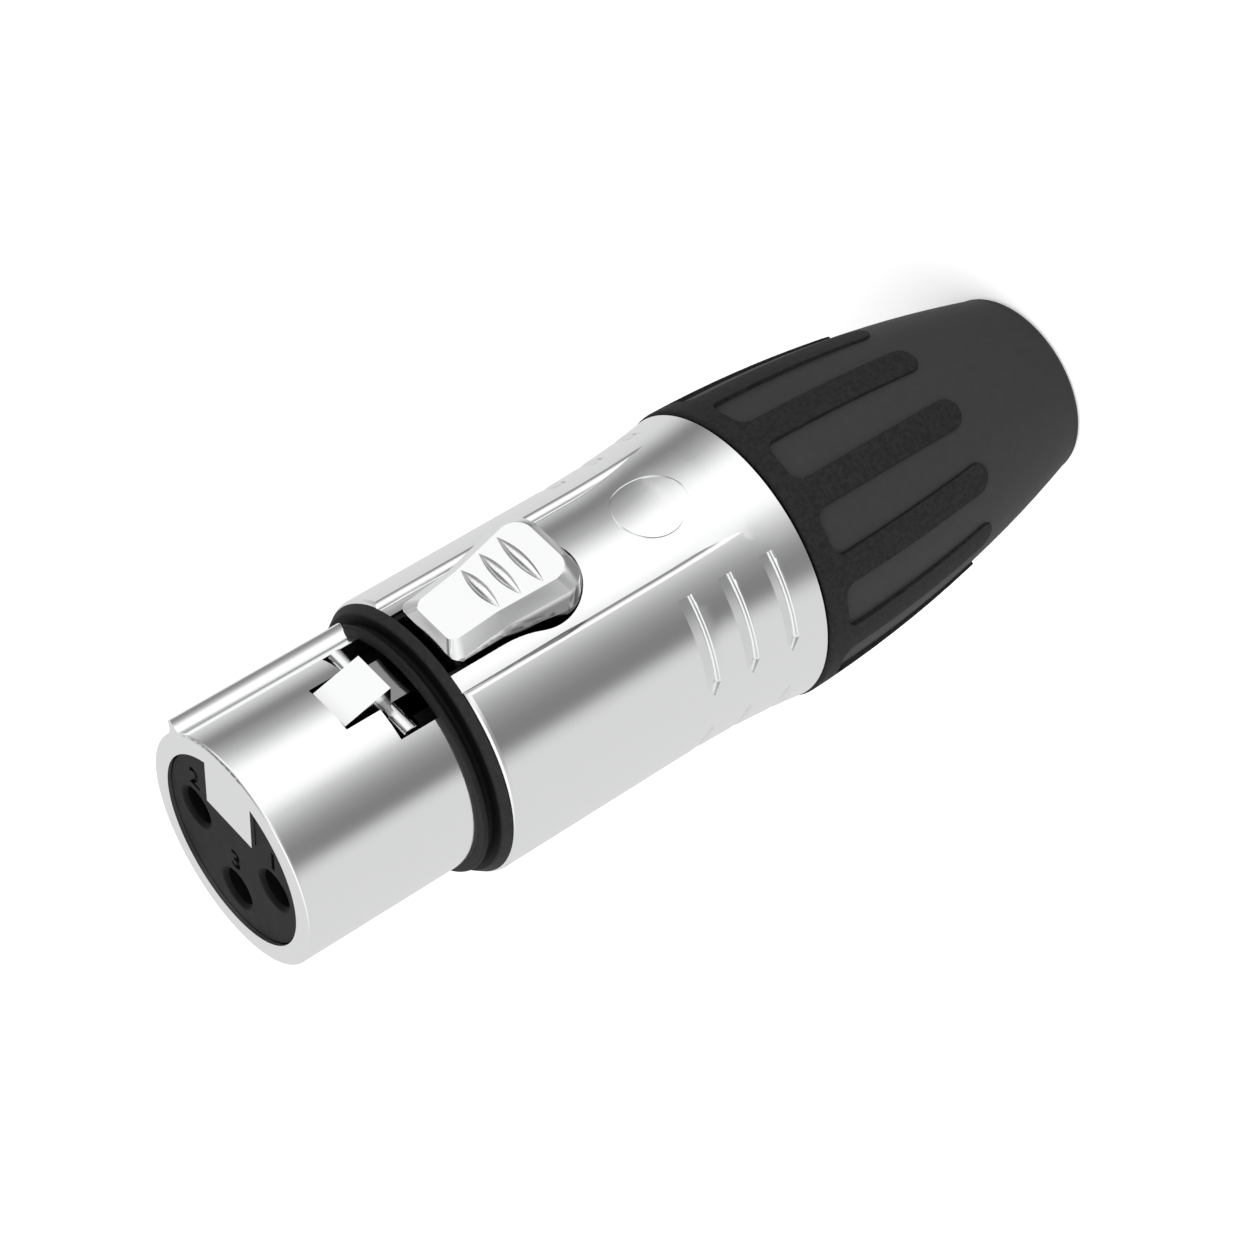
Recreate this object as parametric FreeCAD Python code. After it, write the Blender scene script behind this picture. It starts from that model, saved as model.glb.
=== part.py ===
import FreeCAD, Part
import math
import os
from FreeCAD import Vector

# Female three-contact cable connector, standing on the rear end of its boot.
# Z is the connector's axis with the mating face at the top. The latch looks
# along -Y. Stations are distances back from the mating face along the axis,
# and heights are distances from the axis towards the latch. Millimetres.

# Nose, the part that goes into the socket
nose_wall = 1.4
nose_length = 14.2
face_edge = 0.2
rib_angle = -41.6
rib_height = 0.88
rib_crest = 0.4
rib_left_foot = 0.9
rib_right_foot = 0.45

# Body of the die-cast shell
shoulder_rise = 1.6
body_wall = 1.4
body_length = 25.0
body_edge = 0.4
shoulder_wall = 1.3
flare_length = 10.0
flare_rise = 0.7
seam_edge = 0.15
panel_half_width = 3.9
panel_depth = 0.4
panel_fade = 1.7
panel_edge = 0.25
panel_round = 0.6
badge_radius = 2.55
badge_line = 0.18
badge_depth = 0.1
badge_setback = 6.9

# Grip pockets in the sides of the shell
pocket_rows = 3
pocket_pitch = 3.1
pocket_width = 1.0
pocket_depth = 0.28
pocket_round = 0.15
pocket_reach = 3.5
pocket_tip = 1.0
pocket_lean = 30.0
pocket_draft = 60.0
pocket_last_gap = 2.3

# Damping ring between nose and body
ring_depth = 1.6
ring_bead_width = 0.45
ring_groove_width = 0.55
ring_bead_rise = 0.65
ring_groove_rise = 0.05
ring_flange_inset = 0.18
ring_flange_taper = 0.3
ring_flange_edge = 0.15
ring_ear_length = 1.6
ring_ear_drop = 0.7
ring_ear_wall = 0.4

# Latch lever with its hook and push button
lever_half_width = 1.6
lever_thickness = 1.8
lever_drop = 0.6
window_length = 5.2
hook_length = 3.35
hook_rise = 0.78
hook_toe_drop = 0.05
tongue_margin = 0.68
tongue_floor = 2.6
cross_pin_radius = 0.6
cross_pin_half_length = 3.8
cross_pin_drop = 0.1
button_front_gap = 0.65
button_waist = 3.75
skirt_half_width = 2.4
skirt_head_half = 3.0
skirt_length = 10.5
skirt_rise = 0.1
skirt_root = 0.4
skirt_corner = 2.5
chamfer_half_width = 2.33
chamfer_head_half = 2.94
chamfer_front_inset = 0.0
chamfer_rear_inset = 0.7
chamfer_drop = 0.28
chamfer_corner = 1.6
crown_half_width = 2.05
crown_head_half = 2.66
crown_front_inset = 0.27
crown_rear_inset = 1.45
crown_corner = 1.25
crown_rise = 0.75
crown_slope = 10.8
front_corner = 0.7
thumb_grooves = 3
thumb_groove_pitch = 1.53
thumb_groove_margin = 1.95
thumb_groove_half_length = 2.1
thumb_groove_growth = 0.2
thumb_groove_bow = 0.42
slot_side_gap = 0.65
slot_blend = 8.0
pivot_pin_radius = 0.6
pivot_boss_radius = 1.2
pivot_setback = 1.65
pivot_drop = 1.0
pivot_pin_half_length = 3.2

# Return spring under the button
spring_wire = 0.36
spring_radius = 1.0
spring_turns = 4
spring_setback = 2.3
spring_pocket_depth = 0.8

# Contact insert and contacts
insert_recess = 0.3
contact_circle = 4.0
insert_wall = 1.05
contact_bore = 1.22
contact_radius = 1.55
contact_bore_length = 12.0
contact_slit = 0.35
contact_slit_length = 8.0
contact_collar_radius = 1.93
contact_collar_length = 1.5
contact_collar_setback = 6.5
entry_radius = 1.3
entry_chamfer = 0.28
entry_depth = 1.0
lever_room = 2.2
retainer_thickness = 1.6
cup_length = 3.4
cup_bore = 1.1
cup_lip = 0.3
ground_width = 2.4
ground_thickness = 0.25
ground_bed = 0.65
ground_length = 9.0

# Strain-relief chuck
chuck_flange = 1.9
chuck_wall = 0.9
chuck_reach = 5.8
chuck_jaw_length = 11.0
jaw_slack = 0.2
chuck_slits = 6
chuck_slit_width = 0.8
key_width = 1.9
key_rise = 0.5

# Boot with its over-moulded grip
boot_length = 26.3
bush_wall = 1.1
boot_end_radius = 6.37
boot_end_edge = 0.75
cable_radius = 4.1
grip_overhang = 0.15
grip_rise = 0.33
grip_tip_rise = 0.18
grip_edge = 0.3
grip_bed = 0.5
grip_collar = 1.5
grip_fingers = 12
finger_half_width = 1.05
finger_length = 14.1
opening_corner = 1.0

# Clearances
fit = 0.05
running = 0.1
swing = 0.3
rear_gap = 0.15
crossing = 0.006

# Stations and radii that follow from the sizes above
nose_bore = contact_circle + contact_radius + insert_wall
nose_radius = nose_bore + nose_wall
body_radius = nose_radius + shoulder_rise
seam_radius = body_radius + flare_rise
shoulder_back = nose_length + shoulder_wall
seam = nose_length + body_length
flare_front = seam - flare_length
boot_front = seam + running
boot_back = boot_front + boot_length
body_bore = body_radius - body_wall
panel_radius = body_radius - panel_depth
ring_front = nose_length - ring_depth

window_front = ring_front - window_length
hook_front = window_front + rear_gap
hook_back = hook_front + hook_length
lever_top = nose_radius - lever_drop
lever_floor = lever_top - lever_thickness
cross_pin_station = hook_back - cross_pin_drop
cross_pin_height = lever_top - cross_pin_radius - cross_pin_drop
window_half = lever_half_width + swing
wide_half = cross_pin_half_length + rear_gap
wide_front = cross_pin_station - cross_pin_radius - swing
window_back = (ring_front + nose_length) / 2
tongue_half = lever_half_width + tongue_margin
tongue_back = window_front - 2 * swing

skirt_front = nose_length + button_front_gap
skirt_back = skirt_front + skirt_length
skirt_height = panel_radius + skirt_rise
skirt_floor = lever_top - skirt_root
crown_front_height = skirt_height + crown_rise
slot_half = skirt_half_width + 2 * swing
slot_head_radius = skirt_head_half + slot_side_gap
slot_back = skirt_back + 2 * swing
slot_head = slot_back - slot_head_radius
pivot_station = slot_back + pivot_setback
pivot_height = lever_top - pivot_drop

channel_half = tongue_half + fit
channel_floor = tongue_floor - fit
insert_floor = lever_floor - lever_room
insert_radius = nose_bore - fit
insert_wide_radius = body_bore - running
insert_back = pivot_station + pivot_boss_radius + 2 * running
retainer_back = insert_back + retainer_thickness
contact_front = insert_recess + entry_depth + running
collar_front = insert_back - contact_collar_setback
collar_back = collar_front + contact_collar_length
cup_back = retainer_back + cup_length
spring_station = slot_head - spring_setback

bush_radius = body_bore - running
boot_bore = bush_radius - bush_wall
chuck_radius = boot_bore - swing
chuck_jaw_radius = cable_radius + jaw_slack + chuck_wall
chuck_front = retainer_back + fit
flange_back = chuck_front + chuck_flange
tube_back = seam + chuck_reach
jaw_back = tube_back + chuck_jaw_length
bush_front = flange_back + fit
boot_radius = seam_radius + grip_overhang - grip_rise
boot_cone_end = chuck_jaw_radius + swing
cone_back = jaw_back + swing


def up(station):
    return boot_back - station


def place(x, height, station):
    return Vector(x, -height, up(station))


def arc_through(points):
    return Part.Arc(*points).toShape()


def turned(steps):
    # A profile of (radius, station) steps, turned about the axis. A step of
    # four numbers is an arc through its first point to its second.
    edges = []
    first = Vector(steps[0][0], 0, up(steps[0][1]))
    last = first
    for step in steps[1:] + [steps[0]]:
        end = Vector(step[-2], 0, up(step[-1]))
        if len(step) == 4:
            edges.append(arc_through([last, Vector(step[0], 0, up(step[1])), end]))
        else:
            edges.append(Part.makeLine(last, end))
        last = end
    face = Part.Face(Part.Wire(edges))
    return face.revolve(Vector(0, 0, 0), Vector(0, 0, 1), 360)


def block(half_width, low, high, front, back):
    # A box across the latch side, between two heights and two stations
    corner = Vector(-half_width, -high, up(back))
    return Part.makeBox(2 * half_width, high - low, back - front, corner)


def rod(radius, x, height, front, back):
    return Part.makeCylinder(radius, back - front, place(x, height, back), Vector(0, 0, 1))


def cross_rod(radius, half_length, height, station):
    start = place(-half_length, height, station)
    return Part.makeCylinder(radius, 2 * half_length, start, Vector(1, 0, 0))


def turn(shape, angle):
    # Turns a shape made on the latch side to an angle about the axis, which
    # counts from the latch towards -X
    copy = shape.copy()
    copy.rotate(Vector(0, 0, 0), Vector(0, 0, 1), -angle)
    return copy


def fuse_all(shapes):
    return shapes[0].multiFuse(shapes[1:]).removeSplitter()


def bulge(length, rise):
    # Radius of an arc that leaves a line at a tangent and rises over a length
    return (length ** 2 + rise ** 2) / (2 * rise)


def sag(radius, distance):
    return radius - math.sqrt(radius ** 2 - distance ** 2)


def fan_wire(half_width, front, waist, head_half, rear, corner, height, slope=0):
    # Outline seen from the latch side: a straight front with rounded corners,
    # parallel sides to the waist, then a fan with a round-cornered rear end
    turn_in = 1 - math.sqrt(0.5)
    head = rear - corner
    bite = front_corner * turn_in
    trim = corner * turn_in

    def at(x, station):
        climb = math.tan(math.radians(slope)) * (station - front)
        return place(x, height + climb, station)

    side = [
        arc_through([at(half_width - front_corner, front), at(half_width - bite, front + bite),
                     at(half_width, front + front_corner)]),
        Part.makeLine(at(half_width, front + front_corner), at(half_width, waist)),
        Part.makeLine(at(half_width, waist), at(head_half, head)),
        arc_through([at(head_half, head), at(head_half - trim, rear - trim),
                     at(head_half - corner, rear)]),
    ]
    other = [edge.mirror(Vector(0, 0, 0), Vector(1, 0, 0)) for edge in reversed(side)]
    start = Part.makeLine(at(front_corner - half_width, front), at(half_width - front_corner, front))
    end = Part.makeLine(at(head_half - corner, rear), at(corner - head_half, rear))
    return Part.Wire([start] + side + [end] + other)


def keyhole_wire(half_width, front, head, head_radius, blend, height):
    # Outline seen from the latch side: an open front, parallel sides, and a
    # concave blend into a round head
    spread = head_radius + blend
    back_off = math.sqrt(spread ** 2 - (half_width + blend) ** 2)
    waist = head - back_off
    centre_x = half_width + blend
    meet_x = centre_x * head_radius / spread
    meet = head - back_off * head_radius / spread
    mid_angle = math.atan2(back_off, centre_x) / 2
    mid_x = centre_x - blend * math.cos(mid_angle)
    mid = waist + blend * math.sin(mid_angle)

    def at(x, station):
        return place(x, height, station)

    return Part.Wire([
        Part.makeLine(at(-half_width, front), at(half_width, front)),
        Part.makeLine(at(half_width, front), at(half_width, waist)),
        arc_through([at(half_width, waist), at(mid_x, mid), at(meet_x, meet)]),
        arc_through([at(meet_x, meet), at(0, head + head_radius), at(-meet_x, meet)]),
        arc_through([at(-meet_x, meet), at(-mid_x, mid), at(-half_width, waist)]),
        Part.makeLine(at(-half_width, waist), at(-half_width, front)),
    ])


def contact_places():
    # Contacts 1 and 2 sit across from each other and contact 3 is below them
    return {
        1: (-contact_circle, 0.0),
        2: (contact_circle, 0.0),
        3: (0.0, -contact_circle),
    }


# Shell: one zinc casting with nose, rib, tongue, shoulder and flared body

def shell_outline():
    rise = seam_radius - body_radius
    flare = bulge(flare_length, rise)
    turn_in = 1 - math.sqrt(0.5)
    half = flare_front + flare_length / 2
    return turned([
        (nose_bore, 0),
        (nose_radius - face_edge, 0),
        (nose_radius - face_edge * turn_in, face_edge * turn_in, nose_radius, face_edge),
        (nose_radius, nose_length),
        (body_radius - body_edge, nose_length),
        (body_radius - body_edge * turn_in, nose_length + body_edge * turn_in,
         body_radius, nose_length + body_edge),
        (body_radius, flare_front),
        (body_radius + sag(flare, flare_length / 2), half, seam_radius, seam - seam_edge),
        (seam_radius - seam_edge, seam),
        (body_bore, seam),
        (body_bore, shoulder_back),
        (nose_bore, shoulder_back),
    ])


def key_rib():
    foot = nose_radius - fit
    crest = nose_radius + rib_height
    half = rib_crest / 2
    waist = nose_radius + rib_height / 3

    def at(sideways, radius):
        return Vector(-sideways, -radius, up(ring_front))

    left = half + rib_left_foot
    right = half + rib_right_foot
    edges = [
        Part.makeLine(at(-half, crest), at(half, crest)),
        arc_through([at(half, crest), at(half + rib_right_foot / 3, waist), at(right, foot)]),
        Part.makeLine(at(right, foot), at(-left, foot)),
        arc_through([at(-left, foot), at(-half - rib_left_foot / 3, waist), at(-half, crest)]),
    ]
    root = Part.makeBox(left + right, 2 * face_edge, ring_front,
                        Vector(-right, -foot, up(ring_front)))
    crest_bar = Part.Face(Part.Wire(edges)).extrude(Vector(0, 0, ring_front))
    return turn(crest_bar.fuse(root), rib_angle)


def nose_window():
    outside = nose_radius + 2
    narrow = block(window_half, tongue_floor, outside, window_front, window_back)
    wide = block(wide_half, tongue_floor, outside, wide_front, window_back)
    neck = block(window_half, tongue_floor, outside, window_back - fit, shoulder_back)
    return narrow.fuse(wide).fuse(neck)


def panel_room(sink):
    # Room above the lowered panel, which rises to the body where it flares, or
    # above a surface that lies deeper than the panel
    fade_back = seam - panel_fade
    fade_length = fade_back - flare_front
    flare = bulge(flare_length, seam_radius - body_radius)
    climb = panel_depth * 1.05
    floor = panel_radius - sink
    outside = seam_radius + 1
    turn_in = 1 - math.sqrt(0.5)

    def step(share, lift):
        # Radius and station at a share of the run-out
        distance = share * fade_length
        return floor + sag(flare, distance) + lift * climb, flare_front + distance

    return turned([
        (floor - panel_edge, nose_length - 1),
        (floor - panel_edge, nose_length),
        (floor - panel_edge * turn_in, nose_length + panel_edge * turn_in,
         floor, nose_length + panel_edge),
        (floor, flare_front),
        step(0.25, 0.125) + step(0.5, 0.5),
        step(0.75, 0.875) + step(1, 1),
        (outside, fade_back),
        (outside, nose_length - 1),
    ])


def panel_cutter():
    # Cuts the panel's floor, with upright sides that round over at the top.
    # Past the front of the flare the section swings out along it.
    side = panel_half_width
    edge = math.sqrt(body_radius ** 2 - side ** 2)
    centre_x = side + panel_round
    centre_radius = body_radius - panel_round + crossing
    centre = math.sqrt(centre_radius ** 2 - centre_x ** 2)
    lean = math.atan2(centre_x, centre)
    half_way = (lean - math.pi / 2) / 2
    outside = seam_radius + 1

    def at(x, height):
        return place(x, height, flare_front)

    def rim(angle, reach=0):
        # A point of the round edge, or one further along its tangent there
        return at(centre_x + panel_round * math.sin(angle) + reach * math.cos(angle),
                  centre + panel_round * math.cos(angle) - reach * math.sin(angle))

    foot, low, mid = at(side, 0), at(side, centre), rim(half_way)
    rise, flank = rim(lean), rim(lean, panel_round * 6)
    top = Vector(flank.x, -outside, flank.z)
    half = [
        Part.makeLine(foot, low),
        arc_through([low, mid, rise]),
        Part.makeLine(rise, flank),
        Part.makeLine(flank, top),
    ]
    other = [line.mirror(Vector(0, 0, 0), Vector(1, 0, 0)) for line in reversed(half)]
    across = [Part.makeLine(top, Vector(-top.x, top.y, top.z)), Part.makeLine(at(-side, 0), foot)]
    section = Part.Face(Part.Wire(half + across[:1] + other + across[1:]))
    straight = section.extrude(Vector(0, 0, flare_front - nose_length + 1))
    swing_radius = bulge(flare_length, seam_radius - body_radius) * edge / body_radius
    angle = math.degrees(math.asin((seam - flare_front) / swing_radius))
    bend = section.revolve(at(0, edge + swing_radius), Vector(-1, 0, 0), angle)
    return straight.fuse(bend).common(panel_room(0))


def badge_line_cutter():
    # The outline of a plain round field in the panel behind the button
    start = place(0, 0, seam - badge_setback)
    reach = Vector(0, -1, 0)
    outer = Part.makeCylinder(badge_radius, 2 * seam_radius, start, reach)
    inner = Part.makeCylinder(badge_radius - badge_line, 2 * seam_radius, start, reach)
    return panel_room(badge_depth).common(outer.cut(inner))


def button_slot():
    outline = keyhole_wire(slot_half, nose_length - 1, slot_head, slot_head_radius, slot_blend,
                           lever_floor)
    slot = Part.Face(outline).extrude(Vector(0, -body_radius, 0))
    return slot.cut(block(body_radius, 0, 2 * body_radius, 0, nose_length - fit))


def grip_pockets():
    # Shallow pockets whose floor falls towards the rear, in rows down each
    # side, with the rear edge rounded over. The front one of each pair is
    # mirrored about the side of the shell.
    flare = bulge(flare_length, seam_radius - body_radius)
    cutters = []
    for row in range(pocket_rows):
        back = seam - pocket_last_gap - (pocket_rows - 1 - row) * pocket_pitch
        front = back - pocket_width
        surface = body_radius + sag(flare, max(back - flare_front, 0))
        outside = seam_radius + 1
        turn_in = pocket_round * (1 - math.sqrt(0.5))
        round_back = back + pocket_round
        wedge = turned([
            (surface - face_edge / 4, front),
            (surface - pocket_depth, back),
            (surface - pocket_round + crossing, back),
            (surface - turn_in + crossing, back + turn_in, surface + crossing, round_back),
            (outside, round_back),
            (outside, front),
        ])
        middle = (front + back) / 2
        corners = [
            place(pocket_reach, surface / 2, front),
            place(pocket_reach, surface / 2, round_back),
            place(-pocket_reach + pocket_tip, surface / 2, round_back),
            place(-pocket_reach, surface / 2, middle),
            place(-pocket_reach + pocket_tip, surface / 2, front),
        ]
        prism = Part.Face(Part.makePolygon(corners + corners[:1])).extrude(Vector(0, -outside, 0))
        floor = math.sqrt((surface - pocket_depth) ** 2 - pocket_reach ** 2)
        end = Part.makeBox(outside, outside, seam, Vector(0, -outside, 0))
        end.rotate(Vector(0, 0, 0), Vector(0, 0, 1), pocket_draft)
        end.translate(place(pocket_reach - pocket_depth, floor, boot_back))
        prism = prism.cut(end)
        upper = wedge.common(turn(prism, 90 - pocket_lean))
        lower = upper.mirror(Vector(0, 0, 0), Vector(0, 1, 0))
        for pocket in (upper, lower):
            cutters.append(pocket)
            cutters.append(pocket.mirror(Vector(0, 0, 0), Vector(1, 0, 0)))
    return cutters


def make_shell():
    shell = shell_outline()
    tongue = block(tongue_half, tongue_floor, nose_bore + face_edge, 0, tongue_back)
    shell = fuse_all([shell, key_rib(), tongue])
    shell = shell.cut(nose_window())
    shell = shell.cut(panel_cutter())
    shell = shell.cut(badge_line_cutter())
    shell = shell.cut(button_slot())
    shell = shell.cut(Part.makeCompound(grip_pockets()))
    keyway = block(key_width / 2 + running, body_bore - 1, body_bore + key_rise, retainer_back, seam)
    for side in (90, -90):
        shell = shell.cut(turn(keyway, side))
    return shell


# Damping ring, moulded in rubber, with two ears in the button's slot

def make_damping_ring():
    bead_radius = nose_radius + ring_bead_rise
    groove_radius = nose_radius + ring_groove_rise
    flange_radius = body_radius - ring_flange_inset
    flange_front = flange_radius - ring_flange_taper
    bead_back = ring_front + ring_bead_width
    groove_back = bead_back + ring_groove_width
    bead_mid = (ring_front + bead_back) / 2
    bead_foot = bead_radius - ring_bead_width / 2
    groove_edge = groove_radius + ring_groove_width / 2
    ring = turned([
        (nose_radius, ring_front),
        (bead_foot, ring_front),
        (bead_radius, bead_mid, bead_foot, bead_back),
        (groove_edge, bead_back),
        (groove_radius, (bead_back + groove_back) / 2, groove_edge, groove_back),
        (flange_front - ring_flange_edge, groove_back),
        (flange_front, groove_back + ring_flange_edge),
        (flange_radius, nose_length),
        (nose_radius, nose_length),
    ])
    ear = block(slot_half - fit, body_bore + fit, panel_radius - ring_ear_drop,
                nose_length, nose_length + ring_ear_length)
    gap = block(slot_half - ring_ear_wall, 0, 2 * body_radius, 0, seam)
    return ring.fuse(ear.cut(gap)).removeSplitter()


# Latch lever: hook, arm and push button in one casting

def crown_height(station):
    front = skirt_front + crown_front_inset
    return crown_front_height + math.tan(math.radians(crown_slope)) * (station - front)


def make_button():
    waist = skirt_front + button_waist
    chamfer_front = skirt_front + chamfer_front_inset
    crown_front = skirt_front + crown_front_inset
    foot = fan_wire(skirt_half_width, skirt_front, waist, skirt_head_half, skirt_back,
                    skirt_corner, skirt_floor)
    low = foot.translated(Vector(0, skirt_floor - skirt_height, 0))
    middle = fan_wire(chamfer_half_width, chamfer_front, waist, chamfer_head_half,
                      skirt_back - chamfer_rear_inset, chamfer_corner,
                      crown_height(chamfer_front) - chamfer_drop, crown_slope)
    high = fan_wire(crown_half_width, crown_front, waist, crown_head_half,
                    skirt_back - crown_rear_inset, crown_corner, crown_front_height, crown_slope)
    skirt = Part.Face(foot).extrude(Vector(0, skirt_floor - skirt_height, 0))
    crown = Part.makeLoft([low, middle, high], True, True)
    return skirt.fuse(crown)


def thumb_groove_cutters():
    last = skirt_back - crown_rear_inset - thumb_groove_margin
    cutters = []
    for index in range(thumb_grooves):
        station = last - (thumb_grooves - 1 - index) * thumb_groove_pitch
        half = thumb_groove_half_length + (index - 1) * thumb_groove_growth
        height = crown_height(station)
        left = place(-half, height, station)
        right = place(half, height, station)
        top = place(0, height + thumb_groove_bow, station)
        bow = Part.Wire([arc_through([left, top, right]), Part.makeLine(right, left)])
        cutters.append(Part.Face(bow).revolve(left, Vector(1, 0, 0), 360))
    return cutters


def make_latch_lever():
    arm = block(lever_half_width, lever_floor, lever_top, hook_front, pivot_station)
    boss = cross_rod(pivot_boss_radius, lever_half_width, pivot_height, pivot_station)
    start = -lever_half_width
    corners = [
        place(start, lever_floor, hook_front),
        place(start, nose_radius - hook_toe_drop, hook_front),
        place(start, nose_radius + hook_rise, hook_back),
        place(start, lever_floor, hook_back),
    ]
    hook = Part.Face(Part.makePolygon(corners + corners[:1]))
    hook = hook.extrude(Vector(2 * lever_half_width, 0, 0))
    lever = fuse_all([arm, boss, hook, make_button()])
    for cutter in thumb_groove_cutters():
        lever = lever.cut(cutter)
    lever = lever.cut(cross_rod(cross_pin_radius, cross_pin_half_length, cross_pin_height,
                                cross_pin_station))
    lever = lever.cut(cross_rod(pivot_pin_radius + fit, pivot_pin_half_length, pivot_height,
                                pivot_station))
    pocket = Part.makeCylinder(spring_radius + swing, spring_pocket_depth,
                               place(0, lever_floor, spring_station), Vector(0, -1, 0))
    return lever.cut(pocket)


def make_cross_pin():
    return cross_rod(cross_pin_radius, cross_pin_half_length, cross_pin_height, cross_pin_station)


def make_pivot_pin():
    return cross_rod(pivot_pin_radius, pivot_pin_half_length, pivot_height, pivot_station)


def make_latch_spring():
    foot = insert_floor + spring_wire / 2 + fit
    head = lever_floor + spring_pocket_depth - spring_wire / 2 - fit
    rise = head - foot
    helix = Part.makeHelix(rise / spring_turns, rise, spring_radius)
    section = Part.Wire(Part.makeCircle(spring_wire / 2, Vector(spring_radius, 0, 0),
                                        Vector(0, 1, 0)))
    coil = Part.Wire(helix.Edges).makePipeShell([section], True, True)
    coil.rotate(Vector(0, 0, 0), Vector(1, 0, 0), 90)
    coil.translate(place(0, foot, spring_station))
    return coil


# Contact insert, retainer and contacts

def make_contact_insert():
    insert = turned([
        (0, insert_recess),
        (insert_radius, insert_recess),
        (insert_radius, shoulder_back),
        (insert_wide_radius, shoulder_back),
        (insert_wide_radius, insert_back),
        (0, insert_back),
    ])
    outside = 2 * body_radius
    insert = insert.cut(block(channel_half, channel_floor, outside, 0, shoulder_back + fit))
    insert = insert.cut(block(slot_head_radius, insert_floor, outside, shoulder_back, slot_back))
    insert = insert.cut(block(lever_half_width + rear_gap, insert_floor, outside, slot_back - fit,
                              insert_back))
    bar_room = cross_pin_height - cross_pin_radius - 4 * swing
    insert = insert.cut(block(insert_radius, bar_room, outside, wide_front - rear_gap,
                              cross_pin_station + cross_pin_radius + 2 * swing))
    insert = insert.cut(cross_rod(pivot_pin_radius, pivot_pin_half_length, pivot_height,
                                  pivot_station))
    for x, height in contact_places().values():
        insert = insert.cut(rod(entry_radius, x, height, 0, contact_front))
        chamfer = Part.makeCone(entry_radius, entry_radius + entry_chamfer, entry_chamfer,
                                place(x, height, insert_recess + entry_chamfer), Vector(0, 0, 1))
        insert = insert.cut(chamfer)
        insert = insert.cut(rod(contact_radius + fit, x, height, insert_recess + entry_depth,
                                insert_back))
        insert = insert.cut(rod(contact_collar_radius + fit, x, height, collar_front, insert_back))
    bed = block(ground_width / 2 + fit, insert_wide_radius - ground_bed, outside,
                shoulder_back + swing, insert_back)
    return insert.cut(turn(bed, 180))


def make_retainer():
    retainer = rod(insert_wide_radius, 0, 0, insert_back, retainer_back)
    tubes = []
    for x, height in contact_places().values():
        tubes.append(rod(contact_collar_radius, x, height, collar_back, insert_back))
    retainer = fuse_all([retainer] + tubes)
    for x, height in contact_places().values():
        retainer = retainer.cut(rod(contact_radius, x, height, collar_back, retainer_back))
    notch = block(lever_half_width + rear_gap, insert_floor, 2 * body_radius, insert_back,
                  retainer_back)
    return retainer.cut(notch)


def make_contact(x, height):
    contact = fuse_all([
        rod(contact_radius - fit / 2, x, height, contact_front, cup_back),
        rod(contact_collar_radius, x, height, collar_front, collar_back),
    ])
    contact = contact.cut(rod(contact_bore, x, height, contact_front,
                              contact_front + contact_bore_length))
    contact = contact.cut(rod(cup_bore, x, height, insert_back, cup_back))
    slit = Part.makeBox(contact_slit, 2 * contact_collar_radius, contact_slit_length,
                        Vector(x - contact_slit / 2, -height - contact_collar_radius,
                               up(contact_front + contact_slit_length)))
    contact = contact.cut(slit)
    cup_face = block(contact_radius, cup_lip, 2 * contact_radius, retainer_back + cup_lip, cup_back)
    cup_face = turn(cup_face, math.degrees(math.atan2(-x, height)))
    cup_face.translate(Vector(x, -height, 0))
    return contact.cut(cup_face)


def make_ground_contact():
    # A bowed strip in the insert's bed that presses on the shell's bore
    floor = insert_wide_radius - ground_bed
    crown = math.sqrt(body_bore ** 2 - (ground_width / 2) ** 2) - fit / 2
    front = shoulder_back + swing + 2 * fit
    back = front + ground_length
    middle = (front + back) / 2

    def at(height, station):
        return place(-ground_width / 2, height, station)

    under = [at(floor, front), at(crown - ground_thickness, middle), at(floor, back)]
    over = [at(floor + ground_thickness, front), at(crown, middle),
            at(floor + ground_thickness, back)]
    wire = Part.Wire([
        arc_through(under),
        Part.makeLine(at(floor, back), at(floor + ground_thickness, back)),
        arc_through(over),
        Part.makeLine(at(floor + ground_thickness, front), at(floor, front)),
    ])
    strip = Part.Face(wire).extrude(Vector(ground_width, 0, 0))
    return turn(strip, 180)


# Strain-relief chuck: a keyed flange, a tube and slit jaws

def make_chuck():
    inner = chuck_radius - chuck_wall
    chuck = turned([
        (inner, chuck_front),
        (bush_radius, chuck_front),
        (bush_radius, flange_back),
        (chuck_radius, flange_back),
        (chuck_radius, tube_back),
        (chuck_jaw_radius, jaw_back),
        (chuck_jaw_radius - chuck_wall, jaw_back),
        (inner, tube_back),
    ])
    key = block(key_width / 2, body_bore - 1, body_bore + key_rise - running, chuck_front,
                flange_back)
    chuck = fuse_all([chuck, turn(key, 90), turn(key, -90)])
    slit = block(chuck_slit_width / 2, 0, 2 * chuck_radius, tube_back - chuck_wall, jaw_back)
    for index in range(chuck_slits):
        chuck = chuck.cut(turn(slit, index * 360 / chuck_slits))
    return chuck


# Boot: hard moulding with the screw end, and the grip moulded over it

def boot_curve():
    return bulge(boot_length, boot_radius - boot_end_radius)


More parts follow.
